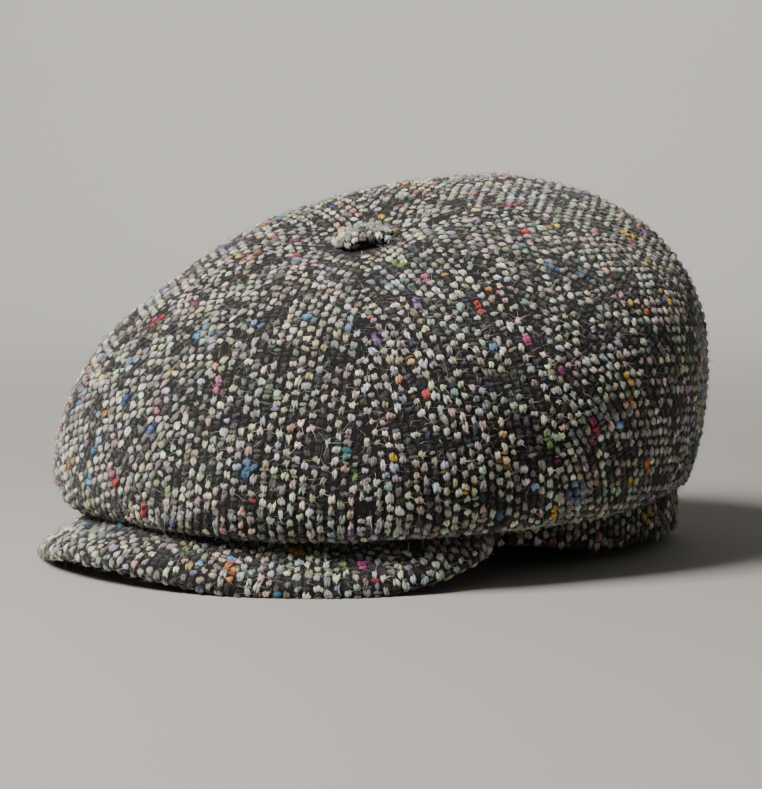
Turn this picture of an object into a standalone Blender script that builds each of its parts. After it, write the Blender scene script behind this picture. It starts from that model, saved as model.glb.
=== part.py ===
"""A full tweed flat cap, resting on a level surface: a hollow crown, a covered button, a band and a brim.

The front of the cap points along -Y and the head goes in from below, along +Z. All sizes are metres.
"""
import math

import bpy
import numpy as np
from mathutils.bvhtree import BVHTree

# Head and cloth
HEAD_LENGTH = 0.206         # outside length of the band, front to back
HEAD_WIDTH = 0.174          # outside width of the band
BAND_HEIGHT = 0.021
BAND_WALL = 0.0030
BAND_LIFT = 0.0105          # how far the band's front half stands above the surface
BAND_SIDE_LIFT = 0.0050     # and its sides, behind the brim's ends
BAND_LIFT_BEARINGS = (58.0, 100.0)     # where the front's lift goes down to the sides', in degrees
BAND_REST_BEARINGS = (134.0, 168.0)    # where the sides come down to the surface
CROWN_WALL = 0.0024
SEAM_GAP = 0.0003           # clearance between two pieces that are sewn together
SEAT_MARGIN = 0.0015        # how far the crown's level seat reaches out beyond the band

# Crown
CROWN_LENGTH = 0.270        # greatest length, front to back
CROWN_WIDTH = 0.238
CROWN_HEIGHT = 0.1505       # top of the crown above the surface
CROWN_FORWARD = 0.028       # how far the middle of the crown's outline lies ahead of the band's middle
CROWN_SQUARENESS = 2.25     # 2 is an ellipse, more is fuller at the corners
TOP_BACK = 0.034            # the highest point lies this far behind the band's middle
TOP_ASIDE = 0.012           # and this far to the right, as the soft crown leans over

# Brim
BRIM_LENGTH = 0.073         # from the band's front to the brim's edge
BRIM_THICK = 0.0075
BRIM_HALF_ANGLE = 62.0      # bearing of the brim's ends, degrees from the front
BRIM_END_WIDTH = 0.005      # how wide the brim still is at its ends
BRIM_ROUNDNESS = 0.42       # power of the outline's cosine: less is squarer
BRIM_ROOT_HEIGHT = 0.016    # underside of the brim along the band, above the surface
BRIM_END_RISE = 0.8         # how high the edge comes at the brim's ends, as a share of the root's height
BRIM_BOW = 0.006            # how far the brim's profile bulges upwards between its root and its edge
BRIM_ARCH = 0.0050          # underside of the brim's edge at the front, above the surface
BRIM_REST_BEARING = 30.0    # where the brim's edge comes down to the surface
BRIM_REST_SPAN = 8.0        # how far round the edge stays down, degrees
BRIM_PRESS = 0.0026         # how far the soft edge is flattened against the surface there
BRIM_REST_CLEAR = 0.0012    # distance kept between crown and brim where the one lies on the other
BRIM_REST_BEYOND = 4.0      # the crown is kept off the brim this far past its ends, degrees
BRIM_REST_REACH = 1.15      # and this far out, as a share of the brim's depth

# Button
BUTTON_WIDTH = 0.0225
BUTTON_HEIGHT = 0.0058
BUTTON_FOOT = 0.82          # width of the foot as a share of the button's width
BUTTON_EDGE = 0.42          # height of the button's widest ring as a share of its height
BUTTON_CLEAR = 1.5          # distance of its foot from the cloth, in seam gaps
BUTTON_MIDDLE_CLEAR = 3.0   # and the same at the foot's middle
BUTTON_FORWARD = 0.053      # how far the button lies ahead of the band's middle
BUTTON_ASIDE = 0.015        # and this far to the left
DIMPLE_WIDTH = 0.066
DIMPLE_DEPTH = 0.0070
SEAT_DEPTH = 0.0022         # how much deeper the cloth is pulled in right under the button
SEAT_SPREAD = 0.9           # how far out that pull reaches, as a share of the button's width

# Crown sections, one row for each bearing, turning from the front to the left side. The rim's reach is a
# share of the crown's oval and the heights are shares of the crown's height. The dip is the handle of the
# lower curve before it turns in to the band, with its reach as a share of the overhang. Upright is the share
# of the way down to the dip that the wall keeps upright, and a fullness of 1 is an ellipse's quarter.
SECTION_COLUMNS = (
    "bearing", "rim_reach", "rim_height", "top_fullness", "upright", "dip_height", "dip_reach",
)
CROWN_SECTIONS = (
    (0.0, 1.000, 0.230, 0.79, 0.55, 0.060, 0.93),
    (45.0, 1.000, 0.240, 0.84, 0.55, 0.060, 0.92),
    (90.0, 1.000, 0.380, 0.97, 0.48, 0.060, 0.74),
    (135.0, 0.972, 0.490, 1.13, 0.30, 0.115, 0.28),
    (180.0, 1.000, 0.490, 1.16, 0.30, 0.115, 0.30),
    (225.0, 0.980, 0.470, 1.17, 0.30, 0.110, 0.34),
    (270.0, 1.000, 0.410, 1.08, 0.45, 0.080, 0.74),
    (315.0, 1.000, 0.260, 0.95, 0.55, 0.060, 0.92),
)

# Soft folds of the crown, one row each: the middle is given by its bearing and its share of the way from the
# top to the rim. The half-length and half-width are shares of the crown's width and the swell is a share of
# its height. The turn is the fold's direction against the slope, and a negative swell is a dent.
FOLD_COLUMNS = ("bearing", "share", "half_length", "half_width", "turn", "swell")
FOLDS = (
    (52.0, 0.62, 0.190, 0.050, 80.0, 0.020),
    (74.0, 0.86, 0.126, 0.060, 10.0, -0.023),
    (40.0, 0.93, 0.118, 0.046, 60.0, -0.020),
    (-30.0, 0.60, 0.168, 0.076, 60.0, -0.017),
    (128.0, 0.55, 0.168, 0.084, 30.0, -0.020),
    (-110.0, 0.62, 0.176, 0.084, -40.0, -0.020),
    (-38.0, 0.78, 0.250, 0.110, 90.0, 0.016),
)

# Fineness of the faceted solids
BEARINGS = 84
TOP_RINGS = 16
LOWER_RINGS = 9
FOLD_FADE_RINGS = 3         # rings below the rim over which the folds die out
EASING_PASSES = 4
BRIM_BEARINGS = 56
BRIM_RINGS = 6
EDGE_STEPS = 4
BUTTON_SIDES = 24
BUTTON_RINGS = 4


def empty_scene():
    """Takes every object out of the scene."""
    for found in list(bpy.data.objects):
        bpy.data.objects.remove(found, do_unlink=True)


def oval_reach(bearing, half_width, half_length, power=2.0):
    """Distance from the middle of an oval to its outline, at a bearing from the front."""
    side = abs(math.sin(bearing)) / half_width
    front = abs(math.cos(bearing)) / half_length
    return (side ** power + front ** power) ** (-1.0 / power)


def eased(value):
    """A smooth step from 0 to 1."""
    inside = min(max(value, 0.0), 1.0)
    return inside * inside * (3.0 - 2.0 * inside)


def folded_bearing(bearing):
    """The bearing from the front in degrees, 0 to 180, the same for the left and the right side."""
    return abs(math.degrees(math.atan2(math.sin(bearing), math.cos(bearing))))


def section_at(bearing):
    """The crown section's values at a bearing, on a smooth closed curve through the rows of the table."""
    count = len(CROWN_SECTIONS)
    step = math.degrees(bearing) % 360.0 * count / 360.0
    row = int(step)
    part = step - row
    rows = [CROWN_SECTIONS[(row + shift) % count] for shift in (-1, 0, 1, 2)]
    before, start, end, after = (np.array(values[1:]) for values in rows)
    slope_in = (end - before) / 2.0
    slope_out = (after - start) / 2.0
    curve = (
        (2 * part ** 3 - 3 * part ** 2 + 1) * start
        + (part ** 3 - 2 * part ** 2 + part) * slope_in
        + (3 * part ** 2 - 2 * part ** 3) * end
        + (part ** 3 - part ** 2) * slope_out
    )
    return dict(zip(SECTION_COLUMNS[1:], curve))


def direction(bearing):
    """The level direction at a bearing from the front."""
    return np.array((math.sin(bearing), -math.cos(bearing)))


def band_reach(bearing, inset=0.0):
    """Distance from the middle to the band's outer face, or to a line that far inside it."""
    return oval_reach(bearing, HEAD_WIDTH / 2.0 - inset, HEAD_LENGTH / 2.0 - inset)


def fallen(bearing, span):
    """1 in front of a span of bearings, 0 behind it, and a smooth step between."""
    start, end = span
    return eased((end - folded_bearing(bearing)) / (end - start))


def band_foot(bearing):
    """Height of the band's lower edge: on the surface behind, lifted at the sides and more in front."""
    front = (BAND_LIFT - BAND_SIDE_LIFT) * fallen(bearing, BAND_LIFT_BEARINGS)
    return front + BAND_SIDE_LIFT * fallen(bearing, BAND_REST_BEARINGS)


def rim_point(bearing):
    """The crown's widest point at a bearing, in plan, from the middle of the band."""
    oval = oval_reach(bearing, CROWN_WIDTH / 2.0, CROWN_LENGTH / 2.0, CROWN_SQUARENESS)
    return oval * section_at(bearing)["rim_reach"] * direction(bearing) + np.array((0.0, -CROWN_FORWARD))


def brim_reach(bearing):
    """Distance from the middle of the band to the brim's outer edge."""
    share = folded_bearing(bearing) / BRIM_HALF_ANGLE
    fade = math.cos(min(share, 1.0) * math.pi / 2.0) ** BRIM_ROUNDNESS
    return band_reach(bearing) + BRIM_END_WIDTH + (BRIM_LENGTH - BRIM_END_WIDTH) * fade


def brim_underside(bearing, share):
    """Height of the brim's underside, from its root at the band (share 0) to its edge (share 1)."""
    degrees = folded_bearing(bearing)
    if degrees < BRIM_REST_BEARING:
        edge = (BRIM_ARCH + BRIM_PRESS) * (1.0 - eased(degrees / BRIM_REST_BEARING)) - BRIM_PRESS
    else:
        rise = eased((degrees - BRIM_REST_BEARING - BRIM_REST_SPAN) / (BRIM_HALF_ANGLE - BRIM_REST_BEARING))
        edge = (BRIM_END_RISE * BRIM_ROOT_HEIGHT + BRIM_PRESS) * rise - BRIM_PRESS
    bow = BRIM_BOW * math.sin(math.pi * min(max(share, 0.0), 1.0))
    return BRIM_ROOT_HEIGHT + (edge - BRIM_ROOT_HEIGHT) * share + bow


def brim_top_under(point):
    """Height of the brim's upper face below a point in plan, or None beside the brim."""
    reach = float(np.hypot(point[0], point[1]))
    bearing = math.atan2(point[0], -point[1])
    if folded_bearing(bearing) > BRIM_HALF_ANGLE + BRIM_REST_BEYOND:
        return None
    root = band_reach(bearing)
    share = (reach - root) / (brim_reach(bearing) - root)
    if share > BRIM_REST_REACH:
        return None
    return brim_underside(bearing, share) + BRIM_THICK


def top_curve(angle, fullness):
    """Shares of the way outwards and downwards along a section of the crown's top, at an angle."""
    outwards = math.sin(angle)
    downwards = 1.0 - math.cos(angle) ** (1.0 / fullness)
    return outwards, downwards


def lower_curve(part, rim_height, seat_height, section):
    """Share of the way in from the rim to the seat, and height, along the lower part of a crown section."""
    dip_height = section["dip_height"] * CROWN_HEIGHT
    upright_height = rim_height + (dip_height - rim_height) * section["upright"]
    dip = (1.0 - section["dip_reach"], dip_height)
    handles = ((0.0, rim_height), (0.0, upright_height), dip, (1.0, seat_height))
    weights = ((1 - part) ** 3, 3 * part * (1 - part) ** 2, 3 * part ** 2 * (1 - part), part ** 3)
    inwards = sum(weight * handle[0] for weight, handle in zip(weights, handles))
    height = sum(weight * handle[1] for weight, handle in zip(weights, handles))
    return inwards, height


def crown_section(bearing):
    """The outer line of the crown at a bearing, from near the top to the seat on the band."""
    section = section_at(bearing)
    rim = rim_point(bearing)
    rim_height = section["rim_height"] * CROWN_HEIGHT
    top = np.array((-TOP_ASIDE, TOP_BACK))
    line = []
    for ring in range(1, TOP_RINGS + 1):
        outwards, downwards = top_curve(math.pi / 2.0 * ring / TOP_RINGS, section["top_fullness"])
        plan = top + (rim - top) * outwards
        line.append((plan[0], plan[1], CROWN_HEIGHT - (CROWN_HEIGHT - rim_height) * downwards))
    seat_height = band_foot(bearing) + BAND_HEIGHT + SEAM_GAP
    seat = band_reach(bearing, -SEAT_MARGIN) * direction(bearing)
    for ring in range(1, LOWER_RINGS + 1):
        inwards, height = lower_curve(ring / LOWER_RINGS, rim_height, seat_height, section)
        plan = rim + (seat - rim) * inwards
        line.append((plan[0], plan[1], height))
    inner_seat = band_reach(bearing, BAND_WALL) * direction(bearing)
    line.append((inner_seat[0], inner_seat[1], seat_height))
    return line


def rested_on_brim(point):
    """The point lifted to where the crown's cloth lies on the brim."""
    below = brim_top_under(point)
    if below is None:
        return point
    return np.array((point[0], point[1], max(point[2], below + BRIM_REST_CLEAR)))


def grid_normals(grid, top_point):
    """The outward direction at every point of a grid of rings and bearings."""
    rings = np.concatenate((np.repeat(top_point[None, None, :], grid.shape[1], axis=1), grid))
    along = np.empty_like(grid)
    along[:-1] = rings[2:] - rings[:-2]
    along[-1] = rings[-1] - rings[-2]
    around = np.roll(grid, -1, axis=1) - np.roll(grid, 1, axis=1)
    normals = np.cross(along, around)
    return normals / np.linalg.norm(normals, axis=2, keepdims=True)


def fold_swell(point):
    """How far the cloth stands out at a point of the crown because of the folds near it."""
    swell = 0.0
    for row in FOLDS:
        fold = dict(zip(FOLD_COLUMNS, row))
        bearing = math.radians(fold["bearing"])
        turn = bearing + math.radians(fold["turn"])
        away = np.array(point[:2]) - fold_middle(bearing, fold["share"])
        along = float(np.dot(away, direction(turn))) / (fold["half_length"] * CROWN_WIDTH)
        across = float(np.dot(away, direction(turn + math.pi / 2.0))) / (fold["half_width"] * CROWN_WIDTH)
        swell += fold["swell"] * CROWN_HEIGHT * math.exp(-along ** 2 - across ** 2)
    return swell


def fold_middle(bearing, share):
    """The place in plan at a share of the way from the crown's top to its rim."""
    top = np.array((-TOP_ASIDE, TOP_BACK))
    return top + (rim_point(bearing) - top) * math.sin(share * math.pi / 2.0)


def button_dimple(point):
    """Depth of the dimple round the button at a place in plan: a wide dip with a narrower one in it."""
    away = math.hypot(point[0] - BUTTON_ASIDE, point[1] + BUTTON_FORWARD)
    wide = DIMPLE_DEPTH * math.exp(-(away / (DIMPLE_WIDTH / 2.0)) ** 2)
    return wide + SEAT_DEPTH * math.exp(-(away / (BUTTON_WIDTH * SEAT_SPREAD)) ** 2)


def crown_outer():
    """The crown's outer face: its top point and a grid of rings and bearings."""
    bearings = [2.0 * math.pi * step / BEARINGS for step in range(BEARINGS)]
    lines = [crown_section(bearing) for bearing in bearings]
    grid = np.array(lines).transpose(1, 0, 2)
    top_point = np.array((-TOP_ASIDE, TOP_BACK, CROWN_HEIGHT))
    normals = grid_normals(grid, top_point)
    shaped = grid.copy()
    for ring in range(grid.shape[0]):
        fade = min(1.0, (TOP_RINGS + FOLD_FADE_RINGS - ring) / (FOLD_FADE_RINGS + 1.0))
        for step in range(BEARINGS):
            point = grid[ring, step]
            if fade > 0.0:
                swell = fold_swell(point) - button_dimple(point)
                point = point + normals[ring, step] * swell * fade
            if ring >= TOP_RINGS:
                point = rested_on_brim(point)
            shaped[ring, step] = point
    return top_point, shaped


def mesh_object(name, vertices, faces, colour, roughness):
    """A smooth-shaded object with its own cloth material."""
    mesh = bpy.data.meshes.new(name)
    mesh.from_pydata([tuple(float(value) for value in vertex) for vertex in vertices], [], faces)
    mesh.update()
    mesh.polygons.foreach_set("use_smooth", [True] * len(mesh.polygons))
    made = bpy.data.objects.new(name, mesh)
    bpy.context.scene.collection.objects.link(made)
    material = bpy.data.materials.new(name + "_cloth")
    material.use_nodes = True
    shader = material.node_tree.nodes["Principled BSDF"]
    shader.inputs["Base Color"].default_value = (*colour, 1.0)
    shader.inputs["Roughness"].default_value = roughness
    shader.inputs["Metallic"].default_value = 0.0
    mesh.materials.append(material)
    return made


def ring_faces(outer, inner, closed=True, flip=False):
    """Four-sided faces between two rings of vertex numbers."""
    count = len(outer)
    faces = []
    for step in range(count if closed else count - 1):
        after = (step + 1) % count
        face = (outer[step], inner[step], inner[after], outer[after])
        faces.append(face[::-1] if flip else face)
    return faces


def eased_lines(grid, first):
    """The grid with each bearing's line eased from one ring on, so that no loop forms in a tight turn."""
    for _ in range(EASING_PASSES):
        middle = 0.5 * grid[first:-1] + 0.25 * (grid[first - 1:-2] + grid[first + 1:])
        grid = np.concatenate((grid[:first], middle, grid[-1:]))
    return grid


def build_crown():
    """The hollow crown: its outer face, the inner face a cloth's thickness inside, and its lower edge."""
    top_point, outer = crown_outer()
    normals = grid_normals(outer, top_point)
    inner = outer - normals * CROWN_WALL
    inner[-1] = outer[-1] + np.array((0.0, 0.0, CROWN_WALL))
    inner = eased_lines(inner, TOP_RINGS)
    vertices = [top_point, top_point - np.array((0.0, 0.0, CROWN_WALL))]
    outer_rings = []
    inner_rings = []
    for rows, rings in ((outer, outer_rings), (inner, inner_rings)):
        for row in rows:
            start = len(vertices)
            vertices.extend(row)
            rings.append(list(range(start, start + BEARINGS)))
    faces = []
    for step in range(BEARINGS):
        after = (step + 1) % BEARINGS
        faces.append((0, outer_rings[0][step], outer_rings[0][after]))
        faces.append((1, inner_rings[0][after], inner_rings[0][step]))
    for ring in range(len(outer_rings) - 1):
        faces += ring_faces(outer_rings[ring], outer_rings[ring + 1])
        faces += ring_faces(inner_rings[ring], inner_rings[ring + 1], flip=True)
    faces += ring_faces(outer_rings[-1], inner_rings[-1])
    return mesh_object("crown", vertices, faces, (0.11, 0.105, 0.10), 0.95)


def build_band():
    """The oval band: flat on the surface at the back, lifted at the front."""
    rings = [[] for _ in range(4)]
    vertices = []
    for step in range(BEARINGS):
        bearing = 2.0 * math.pi * step / BEARINGS
        foot = band_foot(bearing)
        head = foot + BAND_HEIGHT
        corners = ((0.0, foot), (0.0, head), (BAND_WALL, head), (BAND_WALL, foot))
        for ring, (inset, height) in zip(rings, corners):
            plan = band_reach(bearing, inset) * direction(bearing)
            ring.append(len(vertices))
            vertices.append((plan[0], plan[1], height))
    faces = []
    for ring in range(4):
        faces += ring_faces(rings[ring], rings[(ring + 1) % 4], flip=True)
    return mesh_object("band", vertices, faces, (0.10, 0.095, 0.09), 0.95)


def brim_profile(bearing):
    """The closed outline of the brim's section at a bearing: distance and height of each corner."""
    root = band_reach(bearing) + SEAM_GAP
    edge = brim_reach(bearing)
    half = BRIM_THICK / 2.0
    upper = []
    lower = []
    for ring in range(BRIM_RINGS + 1):
        reach = root + (edge - half - root) * ring / BRIM_RINGS
        share = (reach - band_reach(bearing)) / (edge - band_reach(bearing))
        height = brim_underside(bearing, share)
        upper.append((reach, height + BRIM_THICK))
        lower.append((reach, height))
    middle_height = lower[-1][1] + half
    drop = brim_underside(bearing, 1.0) - lower[-1][1]
    nose = []
    for step in range(1, EDGE_STEPS):
        angle = math.pi * step / EDGE_STEPS
        away = half * math.sin(angle)
        nose.append((edge - half + away, middle_height + half * math.cos(angle) + drop * math.sin(angle)))
    return upper + nose + lower[::-1]


def build_brim():
    """The arched brim: a padded board with a rounded edge, closed at both ends."""
    vertices = []
    rings = []
    for step in range(BRIM_BEARINGS + 1):
        bearing = math.radians(BRIM_HALF_ANGLE * (2.0 * step / BRIM_BEARINGS - 1.0))
        profile = brim_profile(bearing)
        start = len(vertices)
        for reach, height in profile:
            plan = reach * direction(bearing)
            vertices.append((plan[0], plan[1], max(height, 0.0)))
        rings.append(list(range(start, start + len(profile))))
    faces = []
    for before, after in zip(rings[:-1], rings[1:]):
        faces += ring_faces(before, after)
    faces.append(tuple(rings[0]))
    faces.append(tuple(rings[-1][::-1]))
    return mesh_object("brim", vertices, faces, (0.11, 0.105, 0.10), 0.95)


def cloth_below(crown, place):
    """The point and the outward direction of the crown's outer face straight below a place in plan."""
    points = [vertex.co for vertex in crown.data.vertices]
    tree = BVHTree.FromPolygons(points, [polygon.vertices[:] for polygon in crown.data.polygons])
    point, normal, _, _ = tree.ray_cast((place[0], place[1], 2.0 * CROWN_HEIGHT), (0.0, 0.0, -1.0))
    return np.array(point), np.array(normal) * math.copysign(1.0, normal[2]), tree


def build_button(crown):
    """The low round button, its foot following the cloth of the dimple it sits in."""
    middle, upwards, tree = cloth_below(crown, (BUTTON_ASIDE, -BUTTON_FORWARD))
    side = np.cross(upwards, (0.0, 1.0, 0.0))
    side = side / np.linalg.norm(side)
    front = np.cross(upwards, side)
    foot = middle + upwards * SEAM_GAP * BUTTON_MIDDLE_CLEAR
    vertices = [foot, middle + upwards * BUTTON_HEIGHT]
    outline = [(BUTTON_FOOT, None)]
    for step in range(BUTTON_RINGS):
        angle = math.pi / 2.0 * step / BUTTON_RINGS
        outline.append((math.cos(angle), BUTTON_EDGE + (1.0 - BUTTON_EDGE) * math.sin(angle)))
    rings = []
    for width, height in outline:
        start = len(vertices)
        for step in range(BUTTON_SIDES):
            turn = 2.0 * math.pi * step / BUTTON_SIDES
            level = side * math.cos(turn) + front * math.sin(turn)
            place = middle + level * width * BUTTON_WIDTH / 2.0
            if height is None:
                hit, _, _, _ = tree.ray_cast(place + upwards * BUTTON_WIDTH, -upwards)
                vertices.append(np.array(hit) + upwards * SEAM_GAP * BUTTON_CLEAR)
            else:
                vertices.append(place + upwards * height * BUTTON_HEIGHT)
        rings.append(list(range(start, start + BUTTON_SIDES)))
    faces = []
    for step in range(BUTTON_SIDES):
        after = (step + 1) % BUTTON_SIDES
        faces.append((0, rings[0][step], rings[0][after]))
        faces.append((1, rings[-1][after], rings[-1][step]))
    for before, after in zip(rings[:-1], rings[1:]):
        faces += ring_faces(before, after)
    return mesh_object("button", vertices, faces, (0.13, 0.125, 0.12), 0.95)


def turned_outwards(made):
    """Turns the faces of a closed mesh outwards where they point inwards."""
    mesh = made.data
    mesh.calc_loop_triangles()
    points = np.array([vertex.co[:] for vertex in mesh.vertices])
    triangles = np.array([triangle.vertices[:] for triangle in mesh.loop_triangles])
    a, b, c = points[triangles[:, 0]], points[triangles[:, 1]], points[triangles[:, 2]]
    if float(np.einsum("ij,ij->i", a, np.cross(b, c)).sum()) < 0.0:
        mesh.flip_normals()


def centred(pieces):
    """Moves the pieces together, so that their common box is centred and stands on the surface."""
    points = np.array([vertex.co[:] for piece in pieces for vertex in piece.data.vertices])
    low = points.min(axis=0)
    high = points.max(axis=0)
    shift = np.array(((low[0] + high[0]) / -2.0, (low[1] + high[1]) / -2.0, -low[2]))
    for piece in pieces:
        for vertex in piece.data.vertices:
            vertex.co = [float(value) for value in np.array(vertex.co) + shift]
        turned_outwards(piece)


def build_cap():
    """All pieces of the cap."""
    empty_scene()
    crown = build_crown()
    centred([crown, build_band(), build_brim(), build_button(crown)])


build_cap()
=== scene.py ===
"""The flat cap in flecked wool tweed: yarns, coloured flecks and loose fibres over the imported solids."""
import math

import bmesh
import bpy
import numpy as np
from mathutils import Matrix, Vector, noise
from mathutils.bvhtree import BVHTree
from mathutils.interpolate import poly_3d_calc
from mathutils.kdtree import KDTree


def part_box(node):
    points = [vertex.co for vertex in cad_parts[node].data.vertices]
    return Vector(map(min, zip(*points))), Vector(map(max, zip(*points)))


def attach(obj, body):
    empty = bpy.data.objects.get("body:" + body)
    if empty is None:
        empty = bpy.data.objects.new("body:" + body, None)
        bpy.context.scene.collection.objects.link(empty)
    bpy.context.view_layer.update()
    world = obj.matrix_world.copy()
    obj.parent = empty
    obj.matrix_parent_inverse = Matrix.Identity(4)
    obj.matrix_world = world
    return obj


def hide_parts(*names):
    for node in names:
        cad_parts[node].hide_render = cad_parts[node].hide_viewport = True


# The photograph's frame and viewpoint
FRAME_WIDTH = 762
FRAME_HEIGHT = 789
FOCAL_PIXELS = 3100.0
SENSOR = 36.0
VIEW_AZIMUTH = 52.0         # degrees round from the cap's front to its left
VIEW_DISTANCE = 1.250
VIEW_HEIGHT = 0.179
VIEW_PITCH = 5.3            # degrees down
ORIGIN_COLUMN = 378.0       # pixel column of the middle of the cap

# Ground cloth under the weave
WELD_GAP = 0.00002          # corners closer than this are one
SHARP_TURN = 50.0           # an edge that turns more than this stays where it is, degrees
SMOOTH_PASSES = 3
SMOOTH_FACTOR = 0.35
CROWN_MIDDLE = 0.35         # height of the point that its inner side looks to, as a share of the crown's

# Weave
YARN_STEP = 0.0037          # from one raised yarn to the next
FLOAT_STEP = 0.0024         # half the distance from one float to the next along a yarn
FLOAT_LENGTH = 0.0046
FLOAT_WIDTH = 0.0029
FLOAT_HEIGHT = 0.00120
WEFT_LENGTH = 0.0044
WEFT_WIDTH = 0.0021
WEFT_HEIGHT = 0.00050
FLOAT_ROUGHNESS = 0.11      # unevenness of a cross yarn's form, as a share of its size
FLOAT_VARIETY = 0.15        # spread of the floats' sizes
FLOAT_TURN = 9.0            # how much the floats turn aside at random, degrees
FLOAT_DRIFT = 0.00026       # how much they stray from the grid
GROUND_SINK = 0.0002        # how deep the floats are rooted in the ground cloth
DARK_FLOAT_HEIGHT = 0.55    # height of a dark float against a pale one
FLECK_SWELL = (1.15, 1.0, 1.2)         # width, length and height of a bright float against a pale one
CROSS_FLECK = 0.55          # how strongly a bright clump colours the cross yarns in it
FLOOR_GAP = 0.0002          # the lowest wool stays this far above the floor
PIECE_FACES = 150000        # most triangles in one joined piece

# Strands of one float, as shares of its size
STRANDS = 5
STRAND_WIDTH = 0.46
STRAND_STRAY = 0.10
STRAND_SHIFT = 0.14
STRAND_SLANT = 0.16
STRAND_LENGTHS = (0.62, 1.0)
STRAND_HEIGHTS = (0.8, 1.1)
OUTER_SHORTENING = 0.22     # how much shorter the outer strands are
OUTER_LOWERING = 0.45       # and how much lower
MOTTLE = 0.26               # how much the strands of one float differ in brightness
ROOT_PALENESS = 0.20        # how pale a strand is painted at its foot: painted shade, partly also the dark ground fibres mixing in
TOP_PALENESS = 0.95         # and how much paler it is painted up to its top, as painted light on the crest
PALENESS_POWER = 1.1

# Panels of the crown
PANELS = 8
SEAM_TURN = 8.0             # bearing of the first seam, degrees
PANEL_ROWS = 112
PANEL_COLUMNS = 30          # to each side of a panel's middle
PANEL_HALF_TURN = 1.2       # places further round from a panel's middle than this aren't in it, radians
PANEL_START = 0.004         # distance of the first floats from the button's middle
STUCK_STEP = 0.2            # a step shorter than this share of a full one means that the cloth has ended
SEAM_SINK = 0.0004          # how far the cloth is pulled in along the panel seams
SEAM_WIDTH = 0.0035
SEAM_OVERLAP = 0.0006       # how far the floats of one panel may reach over its seam
BARE_GAP = 0.0034           # a place further than this from every crossing gets a float of its own

# Brim and band
BRIM_PROBE = 0.30           # distance from which the brim's edge is looked for
BRIM_PROBE_TURN = 135.0     # how far round to each side, degrees
BRIM_PROBES = 1080
BRIM_ROWS = 30
EDGE_STEP = 0.00005         # least distance between two points of the edge
BAND_PROBES = 2000
BAND_FIRST_ROW = 0.0015     # height of the lowest floats above the band's foot
BAND_MISS = 0.0006          # a float that finds no cloth within this of its height is left out
STEEP = 0.1                 # least level part of a direction that looks to the side

# Loose fibres
FIBRE_LENGTH = 0.0034
FIBRE_WIDTH = 0.00010
FIBRE_STEPS = 2
FIBRES_PER_FLOAT = 5.0
FIBRE_LENGTHS = (0.3, 2.2)  # shortest and longest against the usual length
FIBRE_RISES = (0.15, 0.75)
FIBRE_BEND = 0.5
FIBRE_SHADES = (0.8, 1.25)
STRAY_FIBRES = 0.3          # share of the fibres that come from another float than the one they lie on

# The reverse of the cloth
REVERSE_STEP = 0.0027       # from one float to the next
REVERSE_SHADE = 0.40        # how pale they are against the outside
REVERSE_RELIEF = 0.0006
BRIM_VIEW_DEPTH = 0.10      # the brim's faces that look to a point this far below the band show the reverse

# Where two pieces meet, and the shade painted into the wool there
TOUCH_GAP = 0.0014          # no float is laid closer to another piece than this
CREASE_REACH = 0.0075       # how far from another piece the painted shade on the wool reaches
CREASE_SHADE = 0.06         # how pale the wool is painted right at the other piece, the darkest of the painted shade

# The button and the painted shadow under its front edge, where the dark ground is left bare and the floats
# near it are darkened
BUTTON_WEAVE_REACH = 0.0133 # how far from the button's top its weave goes down
BUTTON_YARN_SIZE = 1.05     # its yarns against those of the crown
BUTTON_CLOSENESS = 0.78     # distance of its yarns against that in the crown
BUTTON_PADDING = 0.0014     # how far its full yarns are lifted
BUTTON_PROBE = 0.1          # height above it from which the crown under it is looked for
BUTTON_HEADING = (0.75, -0.66, 0.0)    # the direction of its yarns
BUTTON_ROWS = 12
BUTTON_COLUMNS = 6
BUTTON_LOWEST = -0.3        # no float where the cloth looks further down than this
PAINTED_SHADOW_BEARING = 52.0       # where the painted shadow lies, degrees from the front to the left
PAINTED_SHADOW_SPREAD = 62.0        # how far to each side it runs out, degrees
PAINTED_SHADOW_DEPTH = 0.0055       # how far the painted shadow of bare, dark cloth reaches out from the button there

# Yarn colours as they look in daylight, with their share
PALE_YARNS = (
    ((222, 218, 202), 0.22),
    ((203, 203, 194), 0.24),
    ((172, 173, 166), 0.19),
    ((210, 196, 172), 0.11),
    ((208, 190, 180), 0.05),
    ((180, 189, 196), 0.05),
    ((192, 198, 172), 0.06),
    ((188, 182, 192), 0.02),
    ((70, 70, 68), 0.06),
)
DARK_YARNS = (
    ((22, 22, 24), 0.34),
    ((34, 30, 27), 0.20),
    ((48, 48, 48), 0.18),
    ((92, 90, 86), 0.13),
    ((126, 122, 114), 0.07),
    ((42, 54, 72), 0.04),
    ((58, 62, 44), 0.04),
)
FLECKS = (
    ((226, 182, 52), 0.18),
    ((214, 122, 52), 0.13),
    ((186, 52, 52), 0.11),
    ((196, 62, 140), 0.09),
    ((92, 158, 212), 0.16),
    ((46, 84, 164), 0.12),
    ((36, 124, 124), 0.06),
    ((112, 150, 74), 0.09),
    ((118, 72, 152), 0.06),
)
FLECK_SHARE = 0.029         # clumps of bright wool for each place in the weave
FLECK_SIZE = 0.0022
FLECK_STRENGTHS = (1.0, 0.55)
TINT_SIZE = 0.006           # how far a drift of colour runs
TINT_DEPTH = 0.32
DARK_PATCH_SIZE = 0.0075
DARK_PATCH_LEVEL = 0.27
YARN_CHANGE = 0.45          # chance that a yarn's colour changes from one float to the next
YARN_BRIGHTNESS = (-0.2, 0.42)         # middle and spread of its brightness, as powers of e
YARN_BRIGHTEST = 1.2
DARK_BRIGHTNESS = (0.7, 1.3)

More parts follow.
